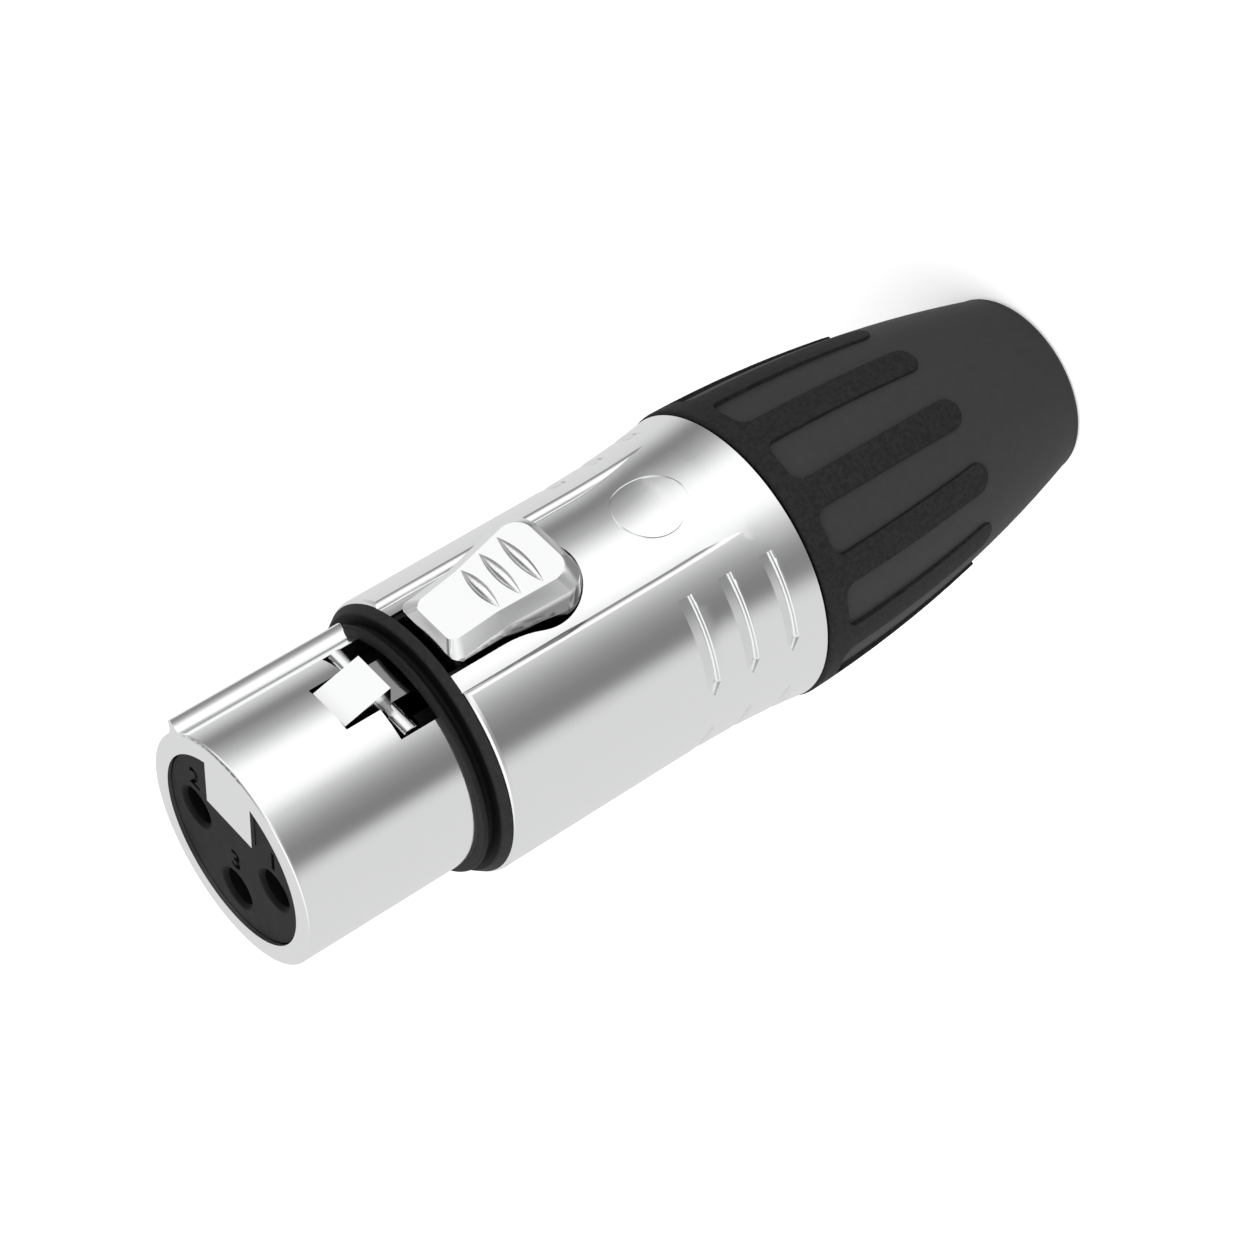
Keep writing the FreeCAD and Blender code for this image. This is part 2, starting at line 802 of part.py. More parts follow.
def gap_opening(half_width, front, back):
    # The rounded front end of the opening between two fingers
    cut = opening_corner * (1 - math.sqrt(0.5))
    inner = half_width - opening_corner

    def arc(*points):
        return arc_through([place(x, 0, station) for x, station in points])

    edges = [
        Part.makeLine(place(-inner, 0, front), place(inner, 0, front)),
        arc((inner, front), (half_width - cut, front + cut), (half_width, front + opening_corner)),
        Part.makeLine(place(half_width, 0, front + opening_corner), place(half_width, 0, back)),
        Part.makeLine(place(half_width, 0, back), place(-half_width, 0, back)),
        Part.makeLine(place(-half_width, 0, back), place(-half_width, 0, front + opening_corner)),
        arc((-half_width, front + opening_corner), (cut - half_width, front + cut), (-inner, front)),
    ]
    return Part.Face(Part.Wire(edges)).extrude(Vector(0, -2 * seam_radius, 0))


def make_grip():
    curve = boot_curve()
    back = boot_front + grip_collar + finger_length
    span = back - boot_front

    def skin(offset, station):
        # The boot's curve, moved out or in by an offset along its normal
        distance = station - boot_front
        return boot_radius + offset - sag(curve + offset, distance)

    half = boot_front + span / 2
    turn_in = grip_edge * (1 - math.sqrt(0.5))
    rim_back = boot_front + grip_edge
    rim_radius = skin(grip_rise, rim_back)
    band = turned([
        (skin(-grip_bed, back), back),
        (skin(-grip_bed, half), half, skin(-grip_bed, boot_front), boot_front),
        (rim_radius - grip_edge, boot_front),
        (rim_radius - turn_in, boot_front + turn_in, rim_radius, rim_back),
        (skin((grip_rise + grip_tip_rise) / 2, half), half, skin(grip_tip_rise, back), back),
    ])
    outside = 2 * seam_radius
    collar_end = boot_front + grip_collar
    collar = band.common(rod(outside, 0, 0, boot_front - 1, collar_end + opening_corner))
    half_pitch = math.radians(180 / grip_fingers)
    rim = skin(grip_rise, collar_end)
    gap_half = rim * math.tan(half_pitch) - finger_half_width / math.cos(half_pitch)
    opening = gap_opening(gap_half, collar_end, collar_end + 2 * opening_corner)
    bar = block(finger_half_width, 0, outside, collar_end - fit, back - finger_half_width)
    tip = Part.makeCylinder(finger_half_width, outside, place(0, 0, back - finger_half_width),
                            Vector(0, -1, 0))
    finger = band.common(bar.fuse(tip).removeSplitter())
    fingers = []
    for index in range(grip_fingers):
        angle = index * 360 / grip_fingers
        collar = collar.cut(turn(opening, angle + 180 / grip_fingers))
        fingers.append(turn(finger, angle))
    return fuse_all([collar] + fingers)


def make_boot_body(grip):
    curve = boot_curve()
    half = boot_front + boot_length / 2
    flank = math.asin(boot_length / curve)
    edge_back = boot_back - boot_end_edge
    edge_radius = boot_radius - sag(curve, edge_back - boot_front)
    turn_in = 1 - math.sqrt(0.5)
    body = turned([
        (boot_bore, bush_front),
        (bush_radius, bush_front),
        (bush_radius, boot_front),
        (boot_radius, boot_front),
        (boot_radius - sag(curve, half - boot_front), half, edge_radius, edge_back),
        (edge_radius - boot_end_edge * (turn_in + math.sin(flank) / 2),
         boot_back - boot_end_edge * turn_in / 2,
         edge_radius - boot_end_edge * (1 + math.sin(flank) / 2), boot_back),
        (cable_radius, boot_back),
        (cable_radius, cone_back),
        (boot_cone_end, cone_back),
        (boot_bore, tube_back),
    ])
    return body.cut(grip)


def make_all():
    parts = {
        "shell": make_shell(),
        "damping_ring": make_damping_ring(),
        "latch_lever": make_latch_lever(),
        "latch_cross_pin": make_cross_pin(),
        "latch_pivot_pin": make_pivot_pin(),
        "latch_spring": make_latch_spring(),
        "contact_insert": make_contact_insert(),
        "contact_retainer": make_retainer(),
        "ground_contact": make_ground_contact(),
        "cable_chuck": make_chuck(),
    }
    for number, (x, height) in contact_places().items():
        parts["contact_%d" % number] = make_contact(x, height)
    grip = make_grip()
    parts["boot_grip"] = grip
    parts["boot_body"] = make_boot_body(grip)
    return parts


os.makedirs("parts", exist_ok=True)
for name, shape in make_all().items():
    solids = shape.Solids
    result = solids[0] if len(solids) == 1 else Part.makeCompound(solids)
    result.exportStep("parts/%s.step" % name)
    print(name, len(solids), "solid", result.isValid(), round(result.Volume, 2))
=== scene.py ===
import math

import bmesh
import bpy
from mathutils import Matrix, Vector


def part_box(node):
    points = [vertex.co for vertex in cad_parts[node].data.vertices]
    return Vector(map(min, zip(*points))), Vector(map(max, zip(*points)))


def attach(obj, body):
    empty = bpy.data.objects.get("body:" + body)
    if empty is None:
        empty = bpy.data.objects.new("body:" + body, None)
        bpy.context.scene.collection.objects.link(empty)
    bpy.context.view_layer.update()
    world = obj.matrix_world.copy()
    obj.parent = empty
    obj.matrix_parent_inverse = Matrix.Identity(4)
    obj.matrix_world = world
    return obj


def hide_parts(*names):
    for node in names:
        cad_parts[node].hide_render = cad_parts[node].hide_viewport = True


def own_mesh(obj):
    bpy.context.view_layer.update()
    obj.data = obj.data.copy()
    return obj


# Cable connector, standing on its boot. Everything is in metres.
mm = 0.001

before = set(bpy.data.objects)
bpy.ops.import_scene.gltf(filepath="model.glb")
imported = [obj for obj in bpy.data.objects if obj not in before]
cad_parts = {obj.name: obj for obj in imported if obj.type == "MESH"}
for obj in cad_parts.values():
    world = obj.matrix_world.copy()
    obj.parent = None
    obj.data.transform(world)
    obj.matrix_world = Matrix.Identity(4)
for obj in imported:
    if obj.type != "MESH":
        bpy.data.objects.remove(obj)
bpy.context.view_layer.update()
print("frame loaded:", len(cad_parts), "nodes")


# Shader maths

class Wire:
    # a socket that can be used in sums

    def __init__(self, tree, socket):
        self.tree = tree
        self.socket = socket

    def math(self, operation, first, second):
        return self.tree.node("ShaderNodeMath", {"operation": operation}, {0: first, 1: second})

    def __add__(self, other):
        return self.math("ADD", self, other)

    def __sub__(self, other):
        return self.math("SUBTRACT", self, other)

    def __rsub__(self, other):
        return self.math("SUBTRACT", other, self)

    def __mul__(self, other):
        return self.math("MULTIPLY", self, other)

    def __truediv__(self, other):
        return self.math("DIVIDE", self, other)

    __radd__ = __add__
    __rmul__ = __mul__


class Tree:
    # the nodes of one material or of the world

    def __init__(self, nodeTree):
        self.nodes = nodeTree.nodes
        self.links = nodeTree.links
        self.nodes.clear()

    def node(self, kind, settings=None, sockets=None, out=0):
        made = self.nodes.new(kind)
        for name, value in (settings or {}).items():
            if name == "stops":
                self.setStops(made.color_ramp, value)
            else:
                setattr(made, name, value)
        for name, value in (sockets or {}).items():
            if isinstance(value, Wire):
                self.links.new(value.socket, made.inputs[name])
            else:
                made.inputs[name].default_value = value
        return Wire(self, made.outputs[out]) if len(made.outputs) else None

    def setStops(self, ramp, stops):
        while len(ramp.elements) < len(stops):
            ramp.elements.new(0.5)
        for element, (place, level) in zip(ramp.elements, stops):
            element.position = place
            element.color = level if isinstance(level, tuple) else (level, level, level, 1)

    def blendColour(self, factor, first, second):
        sockets = {0: factor, 6: first, 7: second}
        return self.node("ShaderNodeMix", {"data_type": "RGBA"}, sockets, out=2)

    def position(self):
        return self.node("ShaderNodeTexCoord", out=3)

    def split(self, wire):
        # the X, Y and Z of a wire
        parts = self.node("ShaderNodeSeparateXYZ", {}, {0: wire})
        return [Wire(self, socket) for socket in parts.socket.node.outputs]

    def ramp(self, stops, wire):
        return self.node("ShaderNodeValToRGB", {"stops": stops}, {0: wire})

    def rise(self, wire, start, end):
        # 0 up to the start, 1 from the end on
        return self.node("ShaderNodeMapRange", {"interpolation_type": "SMOOTHSTEP"}, {
            0: wire, 1: start, 2: end, 3: 0.0, 4: 1.0})

    def noise(self, scale, detail=2.0, roughness=0.5):
        return self.node("ShaderNodeTexNoise", {}, {
            "Vector": self.position(), "Scale": scale, "Detail": detail, "Roughness": roughness})

    def swing(self, scale, middle, width):
        # a value that wanders about its middle
        return self.noise(scale) * width + (middle - width / 2)

    def bump(self, distance, height, normal=None):
        sockets = {"Distance": distance, "Height": height}
        if normal:
            sockets["Normal"] = normal
        return self.node("ShaderNodeBump", {}, sockets)


def newMaterial(name, base, metallic, roughness, sockets=None):
    # base, roughness: a value, or a function of the tree that gives a wire
    material = bpy.data.materials.new(name)
    material.use_nodes = True
    tree = Tree(material.node_tree)
    values = {"Base Color": base, "Roughness": roughness, "Normal": None}
    values.update(sockets or {})
    ready = {"Metallic": metallic}
    for socket, value in values.items():
        if value is not None:
            ready[socket] = value(tree) if callable(value) else value
    shader = tree.node("ShaderNodeBsdfPrincipled", {}, ready)
    tree.node("ShaderNodeOutputMaterial", {}, {"Surface": shader})
    return material


def grey(level):
    return (level, level, level, 1)


nickelLook = {
    "base": (0.915, 0.918, 0.922, 1),   # bright nickel plate
    "roughness": 0.12,
    "roughnessSwing": 0.05,
    "swingScale": 900,
    "grainScale": 14000,                # plated casting, very fine grain
    "grainHeight": 0.0000016,
    "rollScale": 350,                   # slow unevenness of the casting
    "rollHeight": 0.000003,
    "shadeTone": (0.34, 0.34, 0.345, 1),  # painted shade where the button's skirt goes down into its slot
}


def makeNickel(name="brightNickel", shade=None, look=nickelLook):
    # painted shade: the share of its tone, as a function of the tree
    def base(tree):
        return tree.blendColour(shade(tree), look["base"], look["shadeTone"])

    def roughness(tree):
        return tree.swing(look["swingScale"], look["roughness"], look["roughnessSwing"])

    def normal(tree):
        roll = tree.bump(look["rollHeight"], tree.noise(look["rollScale"]))
        return tree.bump(look["grainHeight"], tree.noise(look["grainScale"], 1.0), roll)

    return newMaterial(name, base if shade else look["base"], 1.0, roughness, {"Normal": normal})


# dark, light: the two tones of the mottling; mottle, grain: how fine, by the
# metre; depth: of the grain; edge: radius of the soft edges; shade: painted
# shade, its level by the share of a reach back from the front of a node
plasticLooks = {
    # painted shade: the insert darkens going back from its face, near black in the numbers and
    # holes cut into it
    "insertBlack": {"node": "contact_insert", "reach": 0.3 * mm,
                    "shade": [(0.0, 1.0), (0.08, 1.0), (0.45, 0.10)],
                    "dark": 0.0090, "light": 0.0110, "mottle": 2500, "rough": 0.60,
                    "shine": 0.16, "grain": 6000, "depth": 0.000004, "edge": 0.00008},
    # painted shade by depth back from the ring's front: the bead half dark with its front edge
    # lighter, the groove behind it near black, the flange as it is, darker again at the back
    "ringRubber": {"node": "damping_ring", "reach": 2.0 * mm,
                   "shade": [(0.0, 0.9), (0.04, 0.45), (0.19, 0.45), (0.25, 0.07), (0.50, 0.07),
                             (0.56, 1.0), (0.82, 1.0), (0.88, 0.5)],
                   "dark": 0.0145, "light": 0.0195, "mottle": 2200, "rough": 0.62,
                   "shine": 0.22, "grain": 7000, "depth": 0.000005, "edge": 0.00008},
    "gripRubber": {"dark": 0.0105, "light": 0.0175, "mottle": 3200, "rough": 0.68,
                   "shine": 0.18, "grain": 5200, "depth": 0.000012, "edge": 0.00010},
    "bootBlack": {"dark": 0.0300, "light": 0.0325, "mottle": 1800, "rough": 0.58,
                  "shine": 0.20, "grain": 9000, "depth": 0.000003, "edge": 0.00008},
    "chuckGrey": {"dark": 0.055, "light": 0.065, "mottle": 1500, "rough": 0.50,
                  "shine": 0.35, "grain": 8000, "depth": 0.000003, "edge": 0.00008},
}
plasticFinish = {
    "stops": [(0.38, 0.0), (0.62, 1.0)],  # from the dark mottles to the light ones
    "detail": 3.0,
    "noiseRoughness": 0.6,
    "swing": 0.12,
    "deepest": 0.001,                   # tone where the painted shade is full
    "edgeSamples": 4,
}


def makePlastic(name, finish=plasticFinish):
    look = plasticLooks[name]

    def base(tree):
        mottles = tree.noise(look["mottle"], finish["detail"], finish["noiseRoughness"])
        share = tree.ramp(finish["stops"], mottles)
        colour = tree.blendColour(share, grey(look["dark"]), grey(look["light"]))
        # painted shade: the colour darkens towards the deepest tone by depth back from the
        # node's front
        if "shade" in look:
            height = tree.split(tree.position())[2]
            way = (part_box(look["node"])[1].z - height) / look["reach"]
            level = tree.ramp(look["shade"], way)
            colour = tree.blendColour(level, grey(finish["deepest"]), colour)
        return colour

    def roughness(tree):
        return tree.swing(look["mottle"] / 2, look["rough"], finish["swing"])

    def normal(tree):
        samples = {"samples": finish["edgeSamples"]}
        edge = tree.node("ShaderNodeBevel", samples, {"Radius": look["edge"]})
        return tree.bump(look["depth"], tree.noise(look["grain"]), edge)

    return newMaterial(name, base, 0.0, roughness, {
        "Specular IOR Level": look["shine"], "Normal": normal})


metalLooks = {
    "contactGold": {"base": (0.86, 0.62, 0.28, 1), "rough": 0.22},
    "springSteel": {"base": (0.62, 0.62, 0.61, 1), "rough": 0.28},
}
metalFinish = {
    "swing": 0.10,
    "swingScale": 2400,
    "grainScale": 9000,
    "grainHeight": 0.000002,
}


def makeMetal(name, finish=metalFinish):
    look = metalLooks[name]

    def roughness(tree):
        return tree.swing(finish["swingScale"], look["rough"], finish["swing"])

    def normal(tree):
        return tree.bump(finish["grainHeight"], tree.noise(finish["grainScale"]))

    return newMaterial(name, look["base"], 1.0, roughness, {"Normal": normal})


materials = {"brightNickel": makeNickel()}
for plasticName in plasticLooks:
    materials[plasticName] = makePlastic(plasticName)
for metalName in metalLooks:
    materials[metalName] = makeMetal(metalName)
print("materials made:", len(materials))


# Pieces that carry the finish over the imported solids

# node: material, slot, body, angle in degrees up to which two surfaces that meet
# are shaded as one
finishes = {
    "shell": ("brightNickel", "nickel", "housing", 7),
    "damping_ring": ("ringRubber", "ring_rubber", "housing", 12),
    "contact_insert": ("insertBlack", "black_plastic", "housing", 5),
    "latch_lever": ("leverNickelPaintedShade", "nickel", "latch", 3),
    "latch_cross_pin": ("brightNickel", "nickel", "latch", 3),
    "latch_spring": ("springSteel", "spring_steel", "housing", 30),
    "cable_chuck": ("chuckGrey", "chuck_plastic", "chuck", 5),
    "boot_body": ("bootBlack", "boot_plastic", "boot", 10),
    "boot_grip": ("gripRubber", "grip_rubber", "boot", 10),
}
plainNodes = {
    "contact_1": "contactGold",
    "contact_2": "contactGold",
    "contact_3": "contactGold",
    "contact_retainer": "insertBlack",
    "ground_contact": "springSteel",
    "latch_pivot_pin": "springSteel",
}
ownFunction = ("contact_insert", "latch_lever", "latch_spring", "boot_body")
mergeGap = 0.0005 * mm
turnedNodes = ("shell", "damping_ring", "boot_body", "boot_grip", "cable_chuck")
turnedTilt = 4.0                        # degrees a facet may lean from its round
turnedCore = 1.0 * mm                   # nearer to the axis there is no round


def markSurfaces(bm, layer):
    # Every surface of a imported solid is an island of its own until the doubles
    # are merged, so the islands are numbered first
    waiting = set(bm.faces)
    count = 0
    while waiting:
        count += 1
        edge = [waiting.pop()]
        while edge:
            face = edge.pop()
            face[layer] = count
            for vert in face.verts:
                for other in vert.link_faces:
                    if other in waiting:
                        waiting.remove(other)
                        edge.append(other)


def copyOfNode(node, smoothAngle):
    bm = bmesh.new()
    bm.from_mesh(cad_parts[node].data)
    layer = bm.faces.layers.int.new("surface")
    markSurfaces(bm, layer)
    bmesh.ops.remove_doubles(bm, verts=bm.verts, dist=mergeGap)
    limit = math.radians(smoothAngle)
    for face in bm.faces:
        face.smooth = True
    for edge in bm.edges:
        faces = edge.link_faces
        edge.smooth = len(faces) == 2 and (
            faces[0][layer] == faces[1][layer] or edge.calc_face_angle(0) < limit)
    return bm


def makeObject(bm, name, materialName):
    mesh = bpy.data.meshes.new(name)
    bm.to_mesh(mesh)
    bm.free()
    mesh.materials.clear()
    mesh.materials.append(materials[materialName])
    if "custom_normal" in mesh.attributes:
        mesh.attributes.remove(mesh.attributes["custom_normal"])
    made = bpy.data.objects.new(name, mesh)
    bpy.context.scene.collection.objects.link(made)
    return made


def shadeSmooth(piece, angle):
    mesh = piece.data
    mesh.shade_smooth()
    mesh.set_sharp_from_angle(angle=math.radians(angle))


def roundNormals(piece):
    # Facets of a turned surface take the true normal of the round
    mesh = piece.data
    most = math.sin(math.radians(turnedTilt))
    normals = [Vector(corner.vector) for corner in mesh.corner_normals]
    for loop in mesh.loops:
        place = mesh.vertices[loop.vertex_index].co
        outward = Vector((place.x, place.y, 0))
        if outward.length < turnedCore:
            continue
        outward.normalize()
        sideways = Vector((-outward.y, outward.x, 0))
        normal = normals[loop.index]
        lean = normal.dot(sideways)
        if abs(lean) < most:
            normals[loop.index] = (normal - lean * sideways).normalized()
    mesh.normals_split_custom_set(normals)


def dress(node, bm=None):
    materialName, slotName, body, angle = finishes[node]
    piece = makeObject(bm or copyOfNode(node, angle), node + "_finished", materialName)
    if node in turnedNodes:
        roundNormals(piece)
    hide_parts(node)
    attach(piece, body)
    return piece


for node in finishes:
    if node not in ownFunction:
        dress(node)
for node, materialName in plainNodes.items():
    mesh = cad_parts[node].data
    mesh.materials.clear()
    mesh.materials.append(materials[materialName])
print("solids dressed")


# Latch lever: the chamfer round the button is drawn out to the slot, and the
# toe of the hook lies under the edge of its window

leverLook = {
    "chamferSpread": 0.50 * mm,
    "chamferDrop": 0.42 * mm,
    "chamferDepth": 0.20 * mm,          # the crown's own points lie less deep
    "skirtRoom": 0.05 * mm,             # the chamfer ends this much above the skirt's front
    "frontTrim": 0.16 * mm,             # each side of the crown at its front
    "frontInset": 0.15 * mm,
    "frontLength": 3.6 * mm,
    "frontDepth": 1.0 * mm,             # the crown's front edge lies within this
    "frontSlack": 0.01 * mm,
    "armHalfWidth": 1.65 * mm,          # the button is wider, and only it is widened
    "footHeight": 0.45 * mm,            # of the lowest part, which stays as it is
    "hookDepth": 0.1 * mm,              # of the hook's end, and of its toe
    "toeDrop": 0.25 * mm,
    "toeReach": 0.04 * mm,
    "shadeStart": 0.75 * mm,            # depth below the crown where the painted shade starts, and the next where it is full
    "shadeFull": 1.25 * mm,
}


def makeLever(look=leverLook):
    bm = copyOfNode("latch_lever", finishes["latch_lever"][3])
    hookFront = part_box("latch_lever")[1].z
    hook = [vert for vert in bm.verts if vert.co.z > hookFront - look["hookDepth"]]
    toe = min(vert.co.y for vert in hook)
    for vert in hook:
        if vert.co.y < toe + look["hookDepth"]:
            vert.co += Vector((0, look["toeDrop"], look["toeReach"]))

    outer = [vert for vert in bm.verts if abs(vert.co.x) > look["armHalfWidth"]]
    foot = max(vert.co.y for vert in outer) - look["footHeight"]
    button = [vert for vert in outer if vert.co.y < foot]
    front = max(vert.co.z for vert in button) - look["frontSlack"]
    frontEnd = [vert for vert in button if vert.co.z > front - look["frontDepth"]]
    skirtTop = max(vert.co.y for vert in button if vert.co.z > front)
    crownFront = min(frontEnd, key=lambda vert: vert.co.y).co.copy()
    crownBack = min(button, key=lambda vert: vert.co.y).co.copy()
    slope = (crownFront.y - crownBack.y) / (crownFront.z - crownBack.z)
    wider = 1 + look["chamferSpread"] / max(abs(vert.co.x) for vert in frontEnd)

    def depth(y, z):
        return y - (z - crownFront.z) * slope - crownFront.y

    for vert in bm.verts:
        x, y, z = vert.co
        if z > front + 2 * look["frontSlack"] or y > foot:
            continue
        isOuter = abs(x) > look["armHalfWidth"]
        isEnd = z > front or z < crownBack.z - look["chamferDepth"]
        if depth(y, z) < look["chamferDepth"]:
            share = max(1 - (front - z) / look["frontLength"], 0)
            if isOuter:
                vert.co.x -= math.copysign(look["frontTrim"] * share, x)
            if z > crownFront.z - look["frontDepth"]:
                vert.co += Vector((0, -slope, -1)) * look["frontInset"] * share
        elif isOuter or isEnd:
            vert.co.x = x * wider
            if y < skirtTop:
                vert.co.y = min(y + look["chamferDrop"], skirtTop - look["skirtRoom"])

    # painted shade on the button's skirt: the nickel darkens with depth below the crown, where
    # the skirt goes down into its slot
    def shade(tree):
        x, y, z = tree.split(tree.position())
        return tree.rise(depth(y, z), look["shadeStart"], look["shadeFull"])

    materials["leverNickelPaintedShade"] = makeNickel("leverNickelPaintedShade", shade)
    dress("latch_lever", bm)


makeLever()
print("lever made")


# Boot, with the screw thread on its front end

threadLook = {
    "pitch": 1.0 * mm,
    "rootRadius": 7.8 * mm,
    "crestRadius": 8.08 * mm,
    "crestWidth": 0.16 * mm,
    "rootWidth": 0.7 * mm,
    "rootSink": 0.02 * mm,              # the thread goes this far into the root
    "widest": 8.3 * mm,                 # of what is turned down to the root
    "stepsPerTurn": 72,
    "endRoom": 0.35 * mm,
    "smooth": 30,
}

# The front end of the boot is the round that goes inside the shell
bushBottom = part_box("boot_grip")[1].z
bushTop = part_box("boot_body")[1].z


def makeBoot(look=threadLook):
    lowest = bushBottom - look["endRoom"] / 4
    bm = copyOfNode("boot_body", finishes["boot_body"][3])
    for vert in bm.verts:
        across = vert.co.xy.length
        if vert.co.z > lowest and look["rootRadius"] < across < look["widest"]:
            vert.co.xy *= look["rootRadius"] / across
    dress("boot_body", bm)


def makeThread(look=threadLook):
    low = bushBottom + look["endRoom"]
    turns = (bushTop - bushBottom - 2 * look["endRoom"] - look["rootWidth"]) / look["pitch"]
    root = look["rootRadius"] - look["rootSink"]
    profile = [
        (root, low),
        (look["crestRadius"], low + (look["rootWidth"] - look["crestWidth"]) / 2),
        (look["crestRadius"], low + (look["rootWidth"] + look["crestWidth"]) / 2),
        (root, low + look["rootWidth"]),
    ]
    bm = bmesh.new()
    verts = [bm.verts.new((radius, 0, height)) for radius, height in profile]
    face = bm.faces.new(verts)
    steps = round(turns * look["stepsPerTurn"])
    bmesh.ops.spin(
        bm, geom=[face], cent=(0, 0, 0), axis=(0, 0, 1), angle=math.radians(360) * turns,
        dvec=(0, 0, turns * look["pitch"] / steps), steps=steps, use_duplicate=False)
    bmesh.ops.remove_doubles(bm, verts=bm.verts, dist=mergeGap)
    bmesh.ops.holes_fill(bm, edges=bm.edges, sides=4)
    bmesh.ops.recalc_face_normals(bm, faces=bm.faces)
    thread = makeObject(bm, "boot_thread", "bootBlack")
    shadeSmooth(thread, look["smooth"])
    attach(thread, "boot")


makeBoot()
makeThread()
print("boot and thread made")


# Spring under the button, given a mesh of its own


def makeSpring():
    spring = dress("latch_spring")
    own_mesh(spring)


makeSpring()
print("spring made")


# Contact numbers cut into the face of the insert

numberLook = {
    "height": 1.5 * mm,
    "digitShare": 0.69,                 # of the font's size that a digit is high
    "depth": 0.2 * mm,
    "above": 0.05 * mm,                 # how far the cutter stands out of the face
    "gap": 0.38 * mm,                   # between the number and its hole
    "stroke": 0.05 * mm,                # how much wider each side of a line is
    "holeRadius": 1.58 * mm,
    "curveSteps": 4,
    "smooth": 30,
}


def makeNumber(text, centre, look=numberLook):
    curve = bpy.data.curves.new("number" + text, "FONT")
    curve.body = text
    curve.size = look["height"] / look["digitShare"]
    curve.align_x = "CENTER"
    curve.align_y = "CENTER"
    curve.extrude = (look["depth"] + look["above"]) / 2
    curve.offset = look["stroke"]
    curve.resolution_u = look["curveSteps"]
    holder = bpy.data.objects.new("number" + text, curve)
    bpy.context.scene.collection.objects.link(holder)
    bpy.context.view_layer.update()
    mesh = bpy.data.meshes.new_from_object(holder)
    bpy.data.objects.remove(holder)
    bm = bmesh.new()
    bm.from_mesh(mesh)
    bmesh.ops.remove_doubles(bm, verts=bm.verts, dist=mergeGap)
    place = Matrix.Translation(centre) @ Matrix.Rotation(math.pi, 4, "Z")
    bmesh.ops.transform(bm, matrix=place, verts=bm.verts)
    bmesh.ops.recalc_face_normals(bm, faces=bm.faces)
    return bm


def makeInsert(look=numberLook):
    insert = dress("contact_insert")
    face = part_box("contact_insert")[1].z
    level = face + (look["above"] - look["depth"]) / 2
    drop = look["holeRadius"] + look["gap"] + look["height"] / 2
    for number in (1, 2, 3):
        low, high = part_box("contact_%d" % number)
        middle = (low + high) / 2
        bm = makeNumber(str(number), Vector((middle.x, middle.y - drop, level)))
        cutter = makeObject(bm, "cutter%d" % number, "insertBlack")
        cut = insert.modifiers.new("number", "BOOLEAN")
        cut.operation = "DIFFERENCE"
        cut.solver = "EXACT"
        cut.object = cutter
        bpy.context.view_layer.objects.active = insert
        bpy.context.view_layer.update()
        with bpy.context.temp_override(object=insert, active_object=insert):
            bpy.ops.object.modifier_apply(modifier="number")
        bpy.data.objects.remove(cutter)
    shadeSmooth(insert, look["smooth"])


makeInsert()
print("insert and numbers made")


# Floor, light and camera

studio = {
    "floorSize": 4.0,
    "floorGrey": 0.90,
    "floorRoughness": 0.9,
    "floorGlow": 0.42,
    # What the metal mirrors, from straight down to straight up. Each band is
    # read by azimuth in degrees, and starts to show at one height above the
    # horizon and has taken over at the next
    "bands": [
        {"stops": [(-180, 0.66), (-150, 0.30), (-100, 0.26), (-30, 0.24), (20, 0.50),
                   (60, 0.66), (180, 0.66)]},
        {"from": -52.0, "to": -34.0, "stops": [
            (-180, 0.735), (-175, 0.69), (-170, 0.57), (-165, 0.38), (-160, 0.25),
            (-155, 0.222), (-148, 0.235), (-137, 0.31), (-127, 0.44), (-117, 0.66),
            (-109, 0.98), (-102, 1.12), (-86, 1.20), (-70, 1.14), (-64, 1.02), (-56, 0.76),
            (-46, 0.47), (-35, 0.32), (-26, 0.235), (-20, 0.27), (-13, 0.42), (-5, 0.60),
            (4, 0.72), (20, 0.745), (180, 0.735)]},
        {"from": -18.0, "to": -8.0, "stops": [
            (-180, 0.70), (-165, 0.42), (-150, 0.32), (-140, 0.42), (-128, 0.80),
            (-118, 1.05), (-86, 1.10), (-50, 1.04), (-38, 0.86), (-28, 0.52), (-16, 0.34),
            (-4, 0.48), (12, 0.72), (60, 0.745), (150, 0.735), (180, 0.70)]},
        {"from": 28.0, "to": 44.0, "stops": [
            (-180, 1.12), (-140, 1.12), (-110, 0.90), (-75, 0.50), (-55, 0.24), (-12, 0.20),
            (1, 0.60), (34, 0.68), (60, 0.72), (120, 0.95), (150, 1.12), (180, 1.12)]},
    ],
}


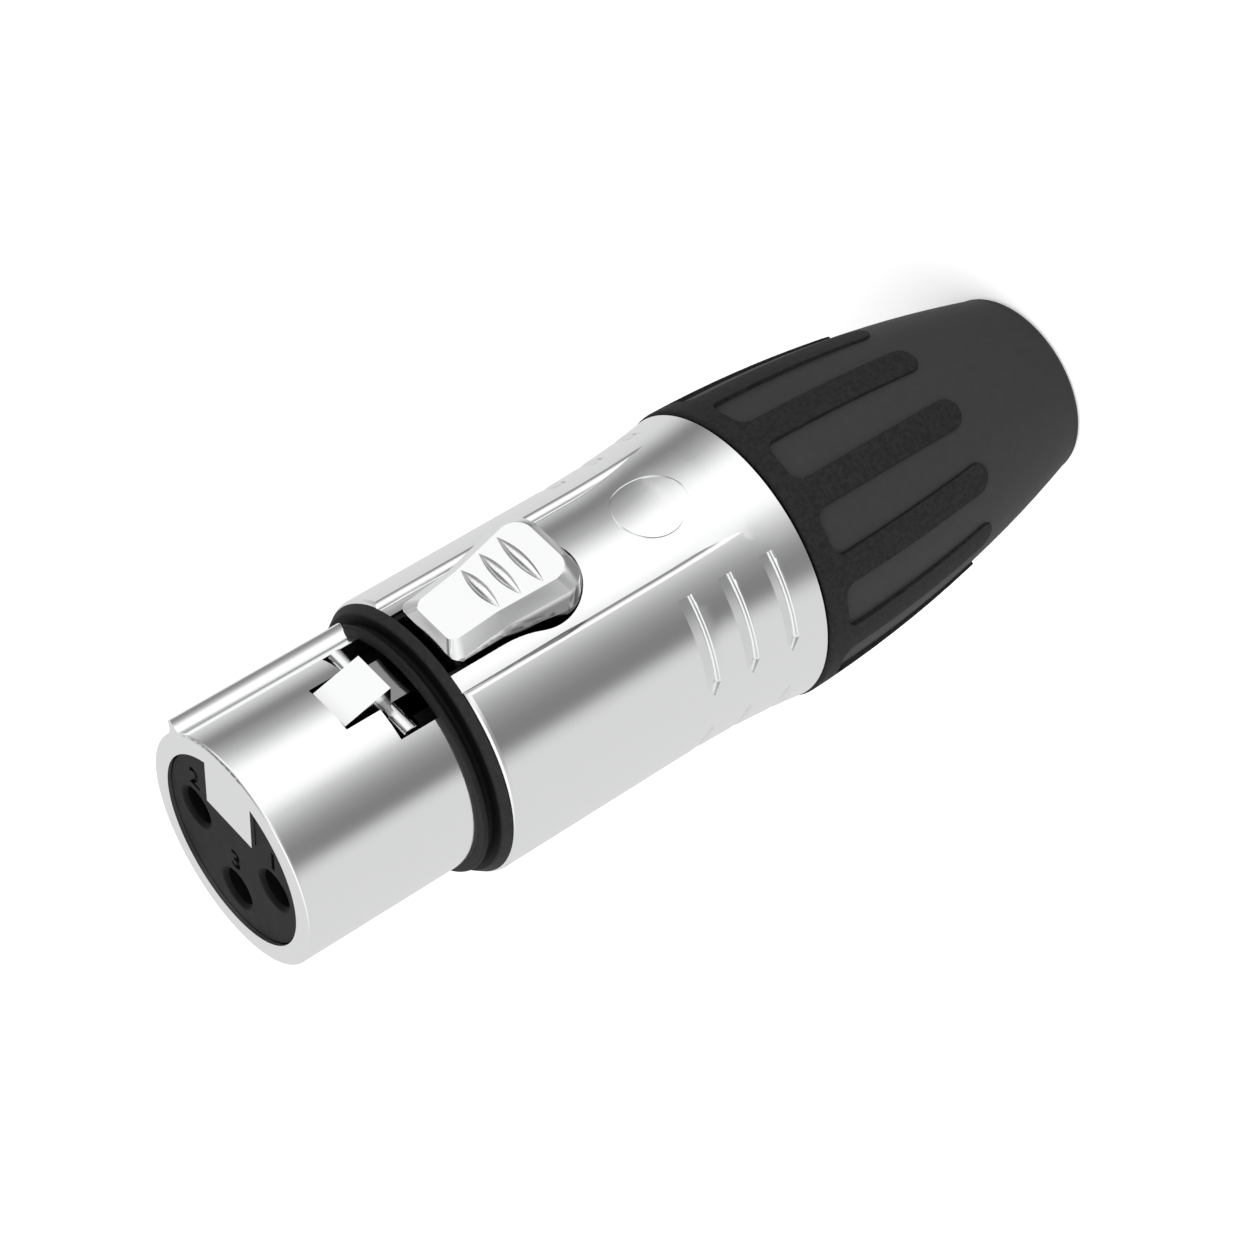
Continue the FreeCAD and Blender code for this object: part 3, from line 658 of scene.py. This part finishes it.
def makeWorld(look=studio):
    world = bpy.data.worlds.new("studio")
    bpy.context.scene.world = world
    world.use_nodes = True
    tree = Tree(world.node_tree)
    x, y, z = tree.split(tree.node("ShaderNodeTexCoord", out=0))
    azimuth = tree.node("ShaderNodeMath", {"operation": "ARCTAN2"}, {0: y, 1: x})
    height = tree.node("ShaderNodeMath", {"operation": "ARCSINE"}, {0: z})
    turn = azimuth / (2 * math.pi) + 0.5

    def band(levels):
        # a ramp ends at 1, so its levels are shares of the highest
        top = max(level for degrees, level in levels)
        stops = [((degrees + 180) / 360, level / top) for degrees, level in levels]
        return tree.ramp(stops, turn) * top

    level = None
    for part in look["bands"]:
        light = band(part["stops"])
        if level:
            share = tree.rise(height, math.radians(part["from"]), math.radians(part["to"]))
            light = light * share + level * (1 - share)
        level = light
    sky = tree.node("ShaderNodeBackground", {}, {"Color": level, "Strength": 1.0})
    tree.node("ShaderNodeOutputWorld", {}, {"Surface": sky})


def makeFloor(look=studio):
    bm = bmesh.new()
    bmesh.ops.create_grid(bm, x_segments=2, y_segments=2, size=look["floorSize"] / 2)
    materials["paleFloor"] = newMaterial(
        "paleFloor", grey(look["floorGrey"]), 0.0, look["floorRoughness"], {
            "Specular IOR Level": 0.0,
            "Emission Color": grey(1.0),
            "Emission Strength": look["floorGlow"]})
    floor = makeObject(bm, "floor", "paleFloor")
    floor.visible_glossy = False


cameraLook = {
    "place": Vector((-108.8, -167.84, 134.94)) * mm,
    "target": Vector((-0.08, 0.04, 35.2)) * mm,
    "roll": -120.84,                    # degrees about the line of sight
    "lens": 101.3,
    "sensor": 36,
    "nearest": 1 * mm,
    "farthest": 20,
}


def makeCamera(look=cameraLook):
    data = bpy.data.cameras.new("camera")
    data.lens = look["lens"]
    data.sensor_width = look["sensor"]
    data.clip_start = look["nearest"]
    data.clip_end = look["farthest"]
    camera = bpy.data.objects.new("camera", data)
    bpy.context.scene.collection.objects.link(camera)
    turn = (look["target"] - look["place"]).to_track_quat("-Z", "Y").to_matrix()
    turn = turn @ Matrix.Rotation(math.radians(look["roll"]), 3, "Z")
    camera.matrix_world = Matrix.Translation(look["place"]) @ turn.to_4x4()
    bpy.context.scene.camera = camera


lampLook = {
    "place": Vector((-260, -160, 420)) * mm,
    "size": 0.35,
    "power": 1.2,
}


def makeLamp(look=lampLook):
    data = bpy.data.lights.new("softLamp", "AREA")
    data.size = look["size"]
    data.energy = look["power"]
    lamp = bpy.data.objects.new("softLamp", data)
    bpy.context.scene.collection.objects.link(lamp)
    lamp.location = look["place"]
    lamp.rotation_euler = (-look["place"]).to_track_quat("-Z", "Y").to_euler()
    lamp.visible_glossy = False


makeWorld()
makeFloor()
makeCamera()
makeLamp()
bpy.context.scene.view_settings.view_transform = "Standard"
print("studio made")
